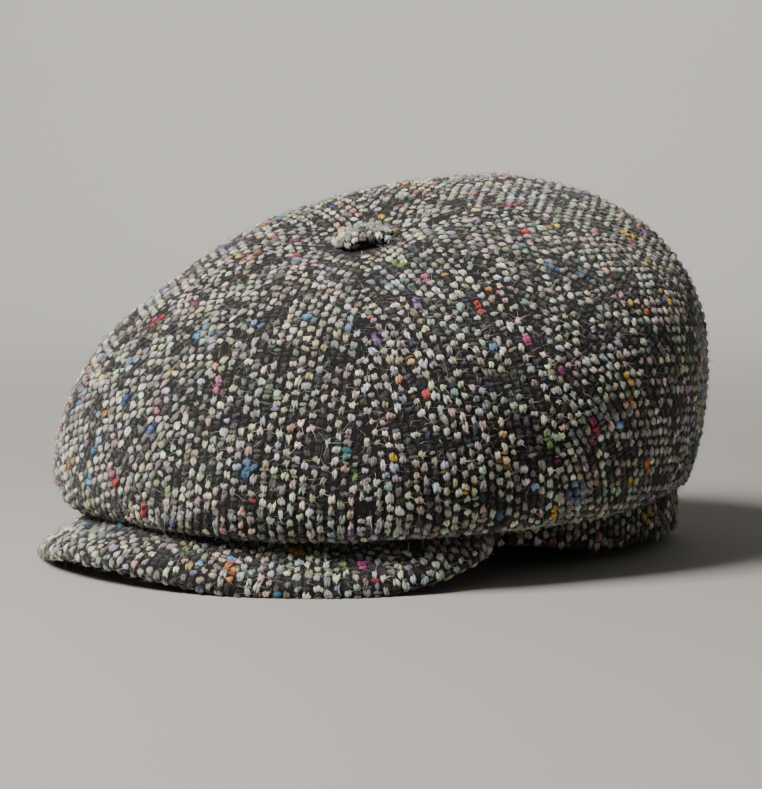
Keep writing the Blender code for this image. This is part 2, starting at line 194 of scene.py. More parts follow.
# Studio, in metres, watts and linear colour
FLOOR_RADIUS = 1.6          # where the flat floor begins to curve up
WALL_RADIUS = 2.8
CURVE_HEIGHT = 1.2
WALL_HEIGHT = 3.2
CURVE_STEPS = 8
FLOOR_SIDES = 96
FLOOR_COLOUR = (0.37, 0.36, 0.345)
SKY_COLOUR = (0.80, 0.84, 0.90)
SKY_STRENGTH = 0.13
CAP_TARGET = (0.0, 0.0, 0.07)
WALL_TARGET_HEIGHT = 0.45
LIGHT_COLUMNS = ("name", "azimuth", "height", "distance", "size", "power", "colour", "at_wall")
LIGHTS = (
    ("key", -60.0, 1.32, 1.10, 0.7, 60.0, (1.0, 0.96, 0.90), False),
    ("fill", -20.0, 1.5, 2.0, 1.6, 1.5, (0.96, 0.97, 1.0), False),
    ("backdrop", 180.0, 1.5, 1.3, 1.0, 42.0, (1.0, 0.98, 0.95), True),
)

random = np.random.default_rng(324)
fibres = []                 # the loose fibres of all pieces, each with its slot


def linear(colour):
    """Linear colour values of an 0 to 255 screen colour."""
    share = np.asarray(colour, float) / 255.0
    return np.where(share <= 0.04045, share / 12.92, ((share + 0.055) / 1.055) ** 2.4)


def pick(table):
    """One colour from a table of colours and shares."""
    shares = np.array([row[1] for row in table])
    row = random.choice(len(table), p=shares / shares.sum())
    return linear(table[row][0])


def wool(name, roughness, sheen, fibre_size, fibre_depth, colour=None):
    """A matt wool material whose colour is the yarn's own or one given colour, with a fine hairy relief."""
    made = bpy.data.materials.new(name)
    made.use_nodes = True
    nodes = made.node_tree.nodes
    links = made.node_tree.links
    shader = nodes["Principled BSDF"]
    shader.inputs["Roughness"].default_value = roughness
    shader.inputs["Sheen Weight"].default_value = sheen
    shader.inputs["Sheen Roughness"].default_value = 0.6
    shader.inputs["Specular IOR Level"].default_value = 0.15
    place = nodes.new("ShaderNodeTexCoord")
    hair = nodes.new("ShaderNodeTexNoise")
    hair.inputs["Scale"].default_value = 1.0 / fibre_size
    hair.inputs["Detail"].default_value = 5.0
    hair.inputs["Roughness"].default_value = 0.65
    links.new(place.outputs["Object"], hair.inputs["Vector"])
    shade = nodes.new("ShaderNodeMapRange")
    shade.inputs["From Min"].default_value = 0.3
    shade.inputs["From Max"].default_value = 0.7
    shade.inputs["To Min"].default_value = 0.55
    shade.inputs["To Max"].default_value = 1.2
    links.new(hair.outputs["Fac"], shade.inputs["Value"])
    mix = nodes.new("ShaderNodeMix")
    mix.data_type = "RGBA"
    mix.blend_type = "MULTIPLY"
    mix.inputs["Factor"].default_value = 1.0
    if colour is None:
        yarn = nodes.new("ShaderNodeAttribute")
        yarn.attribute_name = "yarn"
        links.new(yarn.outputs["Color"], mix.inputs[6])
    else:
        mix.inputs[6].default_value = (*linear(colour), 1.0)
    links.new(shade.outputs["Result"], mix.inputs[7])
    links.new(mix.outputs[2], shader.inputs["Base Color"])
    relief = nodes.new("ShaderNodeBump")
    relief.inputs["Strength"].default_value = 0.7
    relief.inputs["Distance"].default_value = fibre_depth
    links.new(hair.outputs["Fac"], relief.inputs["Height"])
    links.new(relief.outputs["Normal"], shader.inputs["Normal"])
    return made


def reverse_tweed(name):
    """The inner side of the cloth: the weave seen flat, pale floats on the dark ground."""
    made = wool(name, 0.95, 0.2, 0.0006, 0.0002, (30, 29, 28))
    nodes = made.node_tree.nodes
    links = made.node_tree.links
    shader = nodes["Principled BSDF"]
    ground = shader.inputs["Base Color"].links[0].from_socket
    place = nodes.new("ShaderNodeTexCoord")
    cells = nodes.new("ShaderNodeTexVoronoi")
    cells.inputs["Scale"].default_value = 1.0 / REVERSE_STEP
    links.new(place.outputs["Object"], cells.inputs["Vector"])
    float_shape = nodes.new("ShaderNodeMapRange")
    float_shape.inputs["From Min"].default_value = 0.62
    float_shape.inputs["From Max"].default_value = 0.34
    links.new(cells.outputs["Distance"], float_shape.inputs["Value"])
    split = nodes.new("ShaderNodeSeparateColor")
    links.new(cells.outputs["Color"], split.inputs["Color"])
    ramp = nodes.new("ShaderNodeValToRGB")
    ramp.color_ramp.interpolation = "CONSTANT"
    stops = ramp.color_ramp.elements
    yarns = DARK_YARNS + PALE_YARNS
    total = sum(row[1] for row in yarns)
    edge = 0.0
    for number, (colour, share) in enumerate(yarns):
        stop = stops[number] if number < 2 else stops.new(edge)
        stop.position = edge
        stop.color = (*(linear(colour) * REVERSE_SHADE), 1.0)
        edge += share / total
    links.new(split.outputs["Red"], ramp.inputs["Fac"])
    mix = nodes.new("ShaderNodeMix")
    mix.data_type = "RGBA"
    links.new(float_shape.outputs["Result"], mix.inputs["Factor"])
    links.new(ground, mix.inputs[6])
    links.new(ramp.outputs["Color"], mix.inputs[7])
    links.new(mix.outputs[2], shader.inputs["Base Color"])
    weave = nodes.new("ShaderNodeBump")
    weave.inputs["Strength"].default_value = 1.0
    weave.inputs["Distance"].default_value = REVERSE_RELIEF
    links.new(float_shape.outputs["Result"], weave.inputs["Height"])
    links.new(shader.inputs["Normal"].links[0].from_socket, weave.inputs["Normal"])
    links.new(weave.outputs["Normal"], shader.inputs["Normal"])
    return made


def ground_cloth(source, node, outside, inside, middle):
    """A smooth copy of a node's solid in the dark ground cloth; faces that look inwards show its reverse."""
    mesh = source.data.copy()
    mesh.name = node + "_cloth"
    mesh.materials.clear()
    mesh.materials.append(outside)
    mesh.materials.append(inside)
    made = bpy.data.objects.new(node + "_cloth", mesh)
    bpy.context.scene.collection.objects.link(made)
    work = bmesh.new()
    work.from_mesh(mesh)
    bmesh.ops.remove_doubles(work, verts=work.verts, dist=WELD_GAP)
    bmesh.ops.recalc_face_normals(work, faces=work.faces)
    held = set()
    for edge in work.edges:
        if edge.is_manifold and edge.calc_face_angle() > math.radians(SHARP_TURN):
            held.update(edge.verts)
    bmesh.ops.subdivide_edges(work, edges=work.edges, cuts=1, use_grid_fill=True)
    free = [vertex for vertex in work.verts if vertex not in held]
    axes = {"use_axis_x": True, "use_axis_y": True, "use_axis_z": True}
    for _ in range(SMOOTH_PASSES):
        bmesh.ops.smooth_vert(work, verts=free, factor=SMOOTH_FACTOR, **axes)
    for face in work.faces:
        face.smooth = True
        away = face.calc_center_median() - middle
        face.material_index = 0 if face.normal.dot(away) > 0.0 else 1
    work.to_mesh(mesh)
    work.free()
    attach(made, "root")
    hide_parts(node)
    return made


def cloth_finder(piece):
    """A function that gives the nearest point of a piece's outside and the smooth direction out of it."""
    mesh = piece.data
    mesh.calc_loop_triangles()
    outside = [polygon.material_index == 0 for polygon in mesh.polygons]
    corners = [triangle.vertices[:] for triangle in mesh.loop_triangles if outside[triangle.polygon_index]]
    points = [vertex.co.copy() for vertex in mesh.vertices]
    outwards = [vertex.normal.copy() for vertex in mesh.vertices]
    tree = BVHTree.FromPolygons(points, corners)

    def nearest(place):
        hit, _, index, _ = tree.find_nearest(place)
        triangle = corners[index]
        weights = poly_3d_calc([points[corner] for corner in triangle], hit)
        normal = Vector((0.0, 0.0, 0.0))
        for weight, corner in zip(weights, triangle):
            normal += weight * outwards[corner]
        return hit, normal.normalized()

    return nearest


def laid_flat(heading, normal):
    """The part of a direction that lies in the cloth."""
    return (heading - normal * heading.dot(normal)).normalized()


def woven_grid(nearest, start, heading, rows, columns, row_step=FLOAT_STEP, column_step=YARN_STEP):
    """Crossings of the yarns: rows follow a straight line over the cloth, columns lie to its sides."""
    place, normal = nearest(start)
    along = laid_flat(heading, normal)
    places = np.zeros((rows, 2 * columns + 1, 3))
    normals = np.zeros_like(places)
    ended = False
    for row in range(rows):
        if ended:
            walk_on(nearest, places, normals, row, row_step)
            continue
        places[row, columns] = place
        normals[row, columns] = normal
        for sign in (-1, 1):
            spot, out = place, normal
            aside = along.cross(normal) * sign
            for column in range(1, columns + 1):
                spot, out = nearest(spot + aside * column_step)
                aside = laid_flat(aside, out)
                places[row, columns + sign * column] = spot
                normals[row, columns + sign * column] = out
        before = place
        place, normal = nearest(place + along * row_step)
        along = laid_flat(along, normal)
        ended = row > 1 and (place - before).length < STUCK_STEP * row_step
    return places, normals


def walk_on(nearest, places, normals, row, step):
    """One more row of a grid whose middle has come to the cloth's end: each column goes on by itself."""
    for column in range(places.shape[1]):
        before = Vector(places[row - 1, column])
        ahead = before - Vector(places[row - 2, column])
        spot, out = before, Vector(normals[row - 1, column])
        if ahead.length > STUCK_STEP * step:
            spot, out = nearest(before + laid_flat(ahead, out) * step)
        places[row, column] = spot
        normals[row, column] = out


def unit(vectors):
    """Vectors of length one."""
    return vectors / np.maximum(np.linalg.norm(vectors, axis=-1, keepdims=True), 1e-12)


def float_shape(sections, sides, taper):
    """A yarn float as points with x across, y along and z up, from -1 to 1 and 0 to 1, and its faces."""
    points = [(0.0, -1.0, 0.0)]
    for section in range(1, sections):
        along = -1.0 + 2.0 * section / sections
        swell = (1.0 - along ** 2) ** 0.62 * (1.0 - taper * along)
        for side in range(sides + 1):
            angle = math.pi * side / sides
            points.append((swell * math.cos(angle), along, swell * math.sin(angle)))
    points.append((0.0, 1.0, 0.0))
    last = len(points) - 1
    faces = []
    for side in range(sides):
        faces.append((0, 1 + side, 2 + side, -1))
        end = last - sides - 1
        faces.append((last, end + side + 1, end + side, -1))
    for section in range(sections - 2):
        low = 1 + section * (sides + 1)
        high = low + sides + 1
        for side in range(sides):
            faces.append((low + side, high + side, high + side + 1, low + side + 1))
    return np.array(points), faces


def joined_piece(name, points, faces, colours, material):
    """One mesh object of many small forms, each form with its own colour."""
    count, corners = points.shape[:2]
    mesh = bpy.data.meshes.new(name)
    single = []
    for face in faces:
        single.append([corner for corner in face if corner >= 0])
    offsets = np.arange(count) * corners
    loops = np.concatenate([np.add.outer(offsets, np.array(face)) for face in single], axis=1)
    sizes = np.tile([len(face) for face in single], count)
    starts = np.concatenate(([0], np.cumsum(sizes)[:-1]))
    mesh.vertices.add(count * corners)
    mesh.vertices.foreach_set("co", points.reshape(-1).astype(np.float32))
    mesh.loops.add(loops.size)
    mesh.loops.foreach_set("vertex_index", loops.reshape(-1).astype(np.int32))
    mesh.polygons.add(len(sizes))
    mesh.polygons.foreach_set("loop_start", starts.astype(np.int32))
    mesh.polygons.foreach_set("use_smooth", np.ones(len(sizes), bool))
    mesh.update(calc_edges=True)
    yarn = mesh.color_attributes.new("yarn", "FLOAT_COLOR", "POINT")
    paint = np.ones((count, corners, 4), np.float32)
    paint[:, :, :3] = colours
    yarn.data.foreach_set("color", paint.reshape(-1))
    mesh.materials.append(material)
    mesh.validate()
    made = bpy.data.objects.new(name, mesh)
    bpy.context.scene.collection.objects.link(made)
    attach(made, "root")
    return made


def bundles(count):
    """Many floats, each of a few uneven strands that lie side by side: their points, faces and shades."""
    shape, strand_faces = float_shape(3, 3, 0.1)
    points = np.zeros((count, STRANDS, len(shape), 3))
    shades = np.zeros((count, STRANDS, len(shape)))
    faces = []
    for strand in range(STRANDS):
        aside = (2.0 * strand / (STRANDS - 1) - 1.0) * (1.0 - STRAND_WIDTH)
        aside = aside + random.normal(0.0, STRAND_STRAY, (count, 1))
        shift = random.normal(0.0, STRAND_SHIFT, (count, 1))
        length = random.uniform(*STRAND_LENGTHS, (count, 1)) - OUTER_SHORTENING * np.abs(aside)
        slant = random.normal(0.0, STRAND_SLANT, (count, 1))
        height = (1.0 - OUTER_LOWERING * aside ** 2) * random.uniform(*STRAND_HEIGHTS, (count, 1))
        along = shape[None, :, 1] * length
        points[:, strand, :, 0] = aside + shape[None, :, 0] * STRAND_WIDTH + along * slant
        points[:, strand, :, 1] = along + shift
        points[:, strand, :, 2] = shape[None, :, 2] * height
        # painted shade towards each strand's foot, times a random mottle of its own tone
        shades[:, strand] = root_shade(shape)[None, :] * random.lognormal(0.0, MOTTLE, (count, 1))
        first = strand * len(shape)
        for face in strand_faces:
            faces.append(tuple(corner + first if corner >= 0 else -1 for corner in face))
    return points.reshape(count, -1, 3), faces, shades.reshape(count, -1)


def single_forms(count):
    """Many floats of one strand each: their points, faces and shades."""
    shape, faces = float_shape(3, 3, 0.0)
    points = shape[None, :, :] * random.normal(1.0, FLOAT_ROUGHNESS, (count, len(shape), 3))
    # painted shade towards each float's foot, times a random mottle of its own tone
    shades = root_shade(shape)[None, :] * random.lognormal(0.0, MOTTLE, (count, 1))
    return points, faces, shades


def placed_forms(forms, places, across, along, out, sizes):
    """The points of many forms, each set at its place with its own directions and sizes."""
    local = forms * sizes[:, None, :]
    points = places[:, None, :] + local[:, :, 0:1] * across[:, None, :]
    points = points + local[:, :, 1:2] * along[:, None, :]
    points = points + local[:, :, 2:3] * out[:, None, :]
    points[:, :, 2] = np.maximum(points[:, :, 2], FLOOR_GAP)
    return points


def yarn_colours(rows, columns):
    """Colours for the floats of one woven grid: each yarn keeps its colour for a few floats."""
    colours = np.zeros((rows, columns, 3))
    for column in range(columns):
        base = pick(PALE_YARNS)
        for row in range(rows):
            if random.random() < YARN_CHANGE:
                base = pick(PALE_YARNS)
            colours[row, column] = base * min(YARN_BRIGHTEST, random.lognormal(*YARN_BRIGHTNESS))
    return colours


def dark_colours(count):
    """Colours for a number of dark floats."""
    colours = [pick(DARK_YARNS) * random.uniform(*DARK_BRIGHTNESS) for _ in range(count)]
    return np.array(colours).reshape(-1, 3)


def tinted(colours, places):
    """Colours that drift a little from place to place, towards cream, rose, blue or green."""
    result = colours.copy()
    for channel in range(3):
        shift = Vector((7.0 * channel, -3.0 * channel, 11.0))
        drift = [noise.noise(Vector(place) / TINT_SIZE + shift) for place in places]
        result[:, channel] *= 1.0 + TINT_DEPTH * np.array(drift)
    return result


def flecked(colours, places, centres, cover):
    """Colours with the clumps of bright wool laid over them, and which places a clump takes in."""
    result = colours.copy()
    covered = np.zeros(len(places), bool)
    for centre, size, colour, strength in centres:
        near = np.linalg.norm(places - centre, axis=1) < size
        share = cover * strength * random.uniform(0.6, 1.0, (int(near.sum()), 1))
        result[near] = result[near] * (1.0 - share) + colour * share
        covered |= near
    return result, covered


def fleck_centres(places):
    """Where clumps of bright wool lie, each with its size, its colour and how strongly it covers."""
    centres = []
    for index in np.flatnonzero(random.random(len(places)) < FLECK_SHARE):
        size = FLECK_SIZE * random.lognormal(0.0, 0.3)
        centres.append((places[index], size, pick(FLECKS), random.choice(FLECK_STRENGTHS)))
    return centres


def root_shade(shape):
    """How pale a float is painted at each point: painted shade darkens it towards its foot, partly also
    where its edges sink in among the dark fibres of the ground.
    """
    return ROOT_PALENESS + TOP_PALENESS * np.clip(shape[:, 2], 0.0, 1.0) ** PALENESS_POWER


def dark_patches(places):
    """True where the weave shows a dark cluster."""
    values = []
    for place in places:
        coarse = noise.noise(Vector(place) / DARK_PATCH_SIZE)
        fine = noise.noise(Vector(place) / (0.45 * DARK_PATCH_SIZE))
        values.append(coarse + 0.5 * fine)
    return np.array(values) > DARK_PATCH_LEVEL


def weave(places, normals, keep, slot, gaps, sink=None, size=1.0, clusters=True):
    """Floats of pale and dark yarn on a grid of crossings, with shade painted in near other pieces, and the
    loose fibres of the raised ones.
    """
    along = unit(np.gradient(places, axis=0))
    across = unit(np.cross(along, normals))
    along = np.cross(normals, across)
    rows, columns = np.indices(keep.shape)
    raised = (rows + columns) % 2 == 0
    colours = yarn_colours(*keep.shape)
    drop = np.zeros(keep.shape) if sink is None else sink
    centres = fleck_centres(places[keep])
    floats = []
    for kind, mask in (("warp", keep & raised), ("weft", keep & ~raised)):
        spots = places[mask] - normals[mask] * (drop[mask] + GROUND_SINK)[:, None]
        count = len(spots)
        turn = random.normal(0.0, math.radians(FLOAT_TURN), count)[:, None]
        side = across[mask] * np.cos(turn) + along[mask] * np.sin(turn)
        front = along[mask] * np.cos(turn) - across[mask] * np.sin(turn)
        spots = spots + side * random.normal(0.0, FLOAT_DRIFT, (count, 1))
        spots = spots + front * random.normal(0.0, FLOAT_DRIFT, (count, 1))
        vary = random.normal(1.0, FLOAT_VARIETY, (count, 3)).clip(0.6, 1.45)
        if kind == "warp":
            forms, faces, shades = bundles(count)
            sizes = vary * np.array((FLOAT_WIDTH / 2.0, FLOAT_LENGTH / 2.0, FLOAT_HEIGHT)) * size
            paint = tinted(colours[mask], spots)
            if clusters:
                dark = dark_patches(spots)
                paint[dark] = dark_colours(int(dark.sum()))
                sizes[dark, 2] *= DARK_FLOAT_HEIGHT
        else:
            forms, faces, shades = single_forms(count)
            side, front = front, side
            sizes = vary * np.array((WEFT_WIDTH / 2.0, WEFT_LENGTH / 2.0, WEFT_HEIGHT)) * size
            paint = tinted(dark_colours(count), spots)
        paint, covered = flecked(paint, spots, centres, 1.0 if kind == "warp" else CROSS_FLECK)
        # painted shade: wool near another piece is darkened, and its loose fibres take this colour too
        paint = paint * crease_shade(gaps[mask])[:, None]
        sizes[covered] *= FLECK_SWELL
        points = placed_forms(forms, spots, side, front, normals[mask], sizes)
        floats.append((kind, points, faces, paint[:, None, :] * shades[:, :, None]))
        if kind == "warp":
            loose_fibres(spots, side, front, normals[mask], sizes[:, 2], paint, slot)
    return floats


def loose_fibres(spots, across, along, out, heights, paint, slot):
    """Short curved fibres that stand off the pale floats."""
    count = int(len(spots) * FIBRES_PER_FLOAT)
    chosen = random.integers(0, len(spots), count)
    turn = random.uniform(0.0, 2.0 * math.pi, count)[:, None]
    flat = across[chosen] * np.cos(turn) + along[chosen] * np.sin(turn)
    side = np.cross(out[chosen], flat)
    length = FIBRE_LENGTH * random.lognormal(-0.25, 0.45, count).clip(*FIBRE_LENGTHS)[:, None]
    rise = random.uniform(*FIBRE_RISES, count)[:, None]
    bend = random.normal(0.0, FIBRE_BEND, count)[:, None]
    base = spots[chosen] + out[chosen] * heights[chosen][:, None] * 0.75
    corners = 2 * (FIBRE_STEPS + 1)
    points = np.zeros((count, corners, 3))
    for step in range(FIBRE_STEPS + 1):
        share = step / FIBRE_STEPS
        line = flat * share * (1.0 - 0.35 * rise * share) + side * bend * share ** 2 * 0.6
        line = base + length * (line + out[chosen] * rise * share * (1.1 - 0.5 * share))
        half = FIBRE_WIDTH * (0.5 - 0.3 * share)
        points[:, 2 * step] = line - side * half
        points[:, 2 * step + 1] = line + side * half
    points[:, :, 2] = np.maximum(points[:, :, 2], FLOOR_GAP)
    faces = [(2 * step, 2 * step + 1, 2 * step + 3, 2 * step + 2) for step in range(FIBRE_STEPS)]
    owner = np.where(random.random(count) < STRAY_FIBRES, random.integers(0, len(spots), count), chosen)
    colours = paint[owner] * random.uniform(*FIBRE_SHADES, (count, 1))
    fibres.append((slot, points, faces, np.repeat(colours[:, None, :], corners, axis=1)))


def stitched_together(name, parts, material):
    """Joins forms of one kind into as few pieces as the size limit of a piece allows."""
    if not parts:
        return
    faces = parts[0][1]
    points = np.concatenate([part[0] for part in parts])
    colours = np.concatenate([part[2] for part in parts])
    triangles = sum(1 if -1 in face else len(face) - 2 for face in faces)
    per_piece = PIECE_FACES // triangles
    for number in range(math.ceil(len(points) / per_piece)):
        chosen = slice(number * per_piece, (number + 1) * per_piece)
        joined_piece(f"{name}_{number + 1}", points[chosen], faces, colours[chosen], material)


def crown_weave(piece, nearest, obstacles, button_spot):
    """The crown's cloth: eight panels whose yarns run out from the button."""
    parts = {"warp": [], "weft": []}
    laid = []
    for panel in range(PANELS):
        bearing = math.radians(SEAM_TURN + (panel + 0.5) * 360.0 / PANELS)
        heading = Vector((math.sin(bearing), -math.cos(bearing), 0.0))
        places, normals = woven_grid(nearest, button_spot, heading, PANEL_ROWS, PANEL_COLUMNS)
        away = places[:, :, :2] - np.array(button_spot[:2])
        angle = np.arctan2(away[:, :, 0], -away[:, :, 1]) - bearing
        angle = np.abs((angle + math.pi) % (2.0 * math.pi) - math.pi)
        reach = np.linalg.norm(away, axis=2)
        to_seam = reach * np.sin(math.pi / PANELS - angle)
        keep = (to_seam > -SEAM_OVERLAP) & (angle < PANEL_HALF_TURN) & (reach > PANEL_START)
        keep &= still_moving(places)
        gaps = gaps_to(places, keep, obstacles) - button_painted_shadow(away, obstacles[-1], places, keep)
        keep &= gaps > TOUCH_GAP
        sink = SEAM_SINK * np.exp(-(to_seam / SEAM_WIDTH) ** 2)
        laid.append(places[keep])
        for kind, points, faces, paint in weave(places, normals, keep, "crown", gaps, sink):
            parts[kind].append((points, faces, paint))
    places, normals, keep = bare_grid(piece, nearest, np.concatenate(laid), button_spot)
    away = places[:, :, :2] - np.array(button_spot[:2])
    gaps = gaps_to(places, keep, obstacles) - button_painted_shadow(away, obstacles[-1], places, keep)
    keep &= gaps > TOUCH_GAP
    for kind, points, faces, paint in weave(places, normals, keep, "crown", gaps):
        parts[kind].append((points, faces, paint))
    stitched_together("crown_floats", parts["warp"], YARN)
    stitched_together("crown_ground_floats", parts["weft"], YARN)


def bare_grid(piece, nearest, laid, start):
    """A grid of three rows whose middle row lies on the places that have no crossing near them."""
    tree = KDTree(len(laid))
    for index, place in enumerate(laid):
        tree.insert(place, index)
    tree.balance()
    found = []
    for polygon in piece.data.polygons:
        place = polygon.center
        if polygon.material_index == 0 and tree.find(place)[2] > BARE_GAP:
            if all((place - other).length > BARE_GAP for other in found):
                found.append(place.copy())
    places = np.zeros((3, len(found), 3))
    normals = np.zeros_like(places)
    for column, place in enumerate(found):
        spot, out = nearest(place)
        along = laid_flat(spot - start, out)
        for row in range(3):
            places[row, column] = spot + along * FLOAT_STEP * (row - 1)
            normals[row, column] = out
    keep = np.zeros((3, len(found)), bool)
    keep[1] = True
    return places, normals, keep


def button_painted_shadow(away, button_tree, places, wanted):
    """How much closer the places in front of the button count, so that the painted shadow there stays bare
    and dark.
    """
    bearing = np.degrees(np.arctan2(away[:, :, 0], -away[:, :, 1])) - PAINTED_SHADOW_BEARING
    bearing = np.abs((bearing + 180.0) % 360.0 - 180.0)
    share = np.clip(1.0 - (bearing / PAINTED_SHADOW_SPREAD) ** 2, 0.0, 1.0)
    near = gaps_to(places, wanted & (share > 0.0), [button_tree]) < CREASE_REACH
    return PAINTED_SHADOW_DEPTH * share * near


def still_moving(places):
    """True as far along each column of a grid as it hasn't reached the end of the cloth."""
    steps = np.linalg.norm(np.diff(places, axis=0), axis=2)
    moving = np.concatenate((np.ones((1, places.shape[1]), bool), steps > STUCK_STEP * FLOAT_STEP))
    return np.logical_and.accumulate(moving, axis=0)


def gaps_to(places, wanted, obstacles):
    """How far each wanted place lies from the nearest of the given pieces, up to where their painted shade
    ends.
    """
    gaps = np.full(places.shape[:-1], CREASE_REACH)
    for index in zip(*np.nonzero(wanted)):
        for tree in obstacles:
            hit, _, _, distance = tree.find_nearest(Vector(places[index]), CREASE_REACH)
            if hit is not None:
                gaps[index] = min(gaps[index], distance)
    return gaps


def crease_shade(gaps):
    """How pale the wool is painted at a distance from another piece: painted shade in the crease."""
    share = np.clip((gaps - TOUCH_GAP) / (CREASE_REACH - TOUCH_GAP), 0.0, 1.0)
    return CREASE_SHADE + (1.0 - CREASE_SHADE) * share


def tree_of(piece):
    """A search tree over a piece's faces."""
    points = [vertex.co for vertex in piece.data.vertices]
    return BVHTree.FromPolygons(points, [face.vertices[:] for face in piece.data.polygons])


def main_camera():
    """The camera at the photograph's viewpoint."""
    azimuth = math.radians(VIEW_AZIMUTH)
    pitch = math.radians(VIEW_PITCH)
    heading = Vector((-math.sin(azimuth), math.cos(azimuth), 0.0))
    right = Vector((math.cos(azimuth), math.sin(azimuth), 0.0))
    offset = (ORIGIN_COLUMN - FRAME_WIDTH / 2.0) / FOCAL_PIXELS * VIEW_DISTANCE / math.cos(pitch)
    data = bpy.data.cameras.new("camera")
    data.lens = FOCAL_PIXELS / max(FRAME_WIDTH, FRAME_HEIGHT) * SENSOR
    data.sensor_width = SENSOR
    data.clip_start = 0.05
    made = bpy.data.objects.new("camera", data)
    made.location = -heading * VIEW_DISTANCE - right * offset + Vector((0.0, 0.0, VIEW_HEIGHT))
    forward = heading * math.cos(pitch) + Vector((0.0, 0.0, -math.sin(pitch)))
    made.rotation_euler = forward.to_track_quat("-Z", "Y").to_euler()
    bpy.context.scene.collection.objects.link(made)
    bpy.context.scene.camera = made


def area_light(name, azimuth, height, distance, size, power, colour, target):
    """A soft square light that looks at a target, placed by its bearing seen from the camera."""
    angle = math.radians(VIEW_AZIMUTH + azimuth)
    data = bpy.data.lights.new(name, "AREA")
    data.size = size
    data.energy = power
    data.color = colour
    made = bpy.data.objects.new(name, data)
    made.location = (math.sin(angle) * distance, -math.cos(angle) * distance, height)
    made.rotation_euler = (Vector(target) - made.location).to_track_quat("-Z", "Y").to_euler()
    bpy.context.scene.collection.objects.link(made)


def curved_floor():
    """The mesh of a flat floor that curves up into a wall all round."""
    work = bmesh.new()
    profile = [(FLOOR_RADIUS, 0.0)]
    for turn in range(1, CURVE_STEPS + 1):
        angle = math.pi / 2.0 * turn / CURVE_STEPS
        radius = FLOOR_RADIUS + (WALL_RADIUS - FLOOR_RADIUS) * math.sin(angle)
        profile.append((radius, CURVE_HEIGHT - CURVE_HEIGHT * math.cos(angle)))
    profile.append((WALL_RADIUS, WALL_HEIGHT))
    rings = []
    for radius, height in profile:
        ring = []
        for step in range(FLOOR_SIDES):
            angle = 2.0 * math.pi * step / FLOOR_SIDES
            ring.append(work.verts.new((radius * math.sin(angle), radius * math.cos(angle), height)))
        rings.append(ring)
    work.faces.new(rings[0])
    work.faces.ensure_lookup_table()
    for low, high in zip(rings[:-1], rings[1:]):
        for step in range(FLOOR_SIDES):
            after = (step + 1) % FLOOR_SIDES
            work.faces.new((low[step], low[after], high[after], high[step]))
    bmesh.ops.recalc_face_normals(work, faces=work.faces)
    if work.faces[0].normal.z < 0.0:
        bmesh.ops.reverse_faces(work, faces=work.faces)
    for face in work.faces[1:]:
        face.smooth = True
    mesh = bpy.data.meshes.new("floor")
    work.to_mesh(mesh)
    work.free()
    return mesh


def studio():
    """A plain pale floor with its wall, a weak sky and soft lights."""
    floor = bpy.data.objects.new("floor", curved_floor())
    bpy.context.scene.collection.objects.link(floor)
    material = bpy.data.materials.new("floor_paper")
    material.use_nodes = True
    shader = material.node_tree.nodes["Principled BSDF"]
    shader.inputs["Base Color"].default_value = (*FLOOR_COLOUR, 1.0)
    shader.inputs["Roughness"].default_value = 0.9
    floor.data.materials.append(material)
    world = bpy.data.worlds.new("studio")
    world.use_nodes = True
    sky = world.node_tree.nodes["Background"]
    sky.inputs["Color"].default_value = (*SKY_COLOUR, 1.0)
    sky.inputs["Strength"].default_value = SKY_STRENGTH
    bpy.context.scene.world = world
    behind = math.radians(VIEW_AZIMUTH + 180.0)
    wall = (WALL_RADIUS * math.sin(behind), -WALL_RADIUS * math.cos(behind), WALL_TARGET_HEIGHT)
    for row in LIGHTS:
        light = dict(zip(LIGHT_COLUMNS, row))
        target = wall if light.pop("at_wall") else CAP_TARGET
        area_light(**light, target=target)


def middle_of(node):
    """The middle of a node's box."""
    low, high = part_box(node)
    return (low + high) / 2.0


def brim_edge(nearest, height, middle):
    """Points close together along the brim's outer edge."""
    edge = []
    for step in range(BRIM_PROBES + 1):
        bearing = math.radians(-BRIM_PROBE_TURN + 2.0 * BRIM_PROBE_TURN * step / BRIM_PROBES)
        x = middle.x + BRIM_PROBE * math.sin(bearing)
        y = middle.y - BRIM_PROBE * math.cos(bearing)
        spot, _ = nearest(Vector((x, y, height)))
        if not edge or (spot - edge[-1]).length > EDGE_STEP:
            edge.append(spot)
    return edge


def brim_weave(nearest, obstacles):
    """The brim's cloth: yarns run in from the rounded edge, over the top and under it."""
    parts = {"warp": [], "weft": []}
    low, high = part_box("brim")
    edge = brim_edge(nearest, (low.z + high.z) / 3.0, middle_of("band"))
    length = [0.0]
    for before, after in zip(edge[:-1], edge[1:]):
        length.append(length[-1] + (after - before).length)
    count = int(length[-1] / YARN_STEP)
    for sign in (1, -1):
        places = np.zeros((BRIM_ROWS, count, 3))
        normals = np.zeros_like(places)
        for column in range(count):
            want = (column + 0.5) * length[-1] / count
            row = int(np.searchsorted(length, want)) - 1
            share = (want - length[row]) / max(length[row + 1] - length[row], 1e-9)
            tangent = (edge[row + 1] - edge[row]).normalized()
            spot, out = nearest(edge[row].lerp(edge[row + 1], share))
            heading = laid_flat(tangent.cross(out) * -sign, out)
            for line in range(BRIM_ROWS):
                places[line, column] = spot
                normals[line, column] = out
                spot, out = nearest(spot + heading * FLOAT_STEP)
                heading = laid_flat(heading, out)
        keep = still_moving(places)
        gaps = gaps_to(places, keep, obstacles)
        keep &= gaps > TOUCH_GAP
        if sign < 0:
            keep[0] = False
        for kind, points, faces, paint in weave(places, normals, keep, "brim", gaps):
            parts[kind].append((points, faces, paint))
    stitched_together("brim_floats", parts["warp"], YARN)
    stitched_together("brim_ground_floats", parts["weft"], YARN)


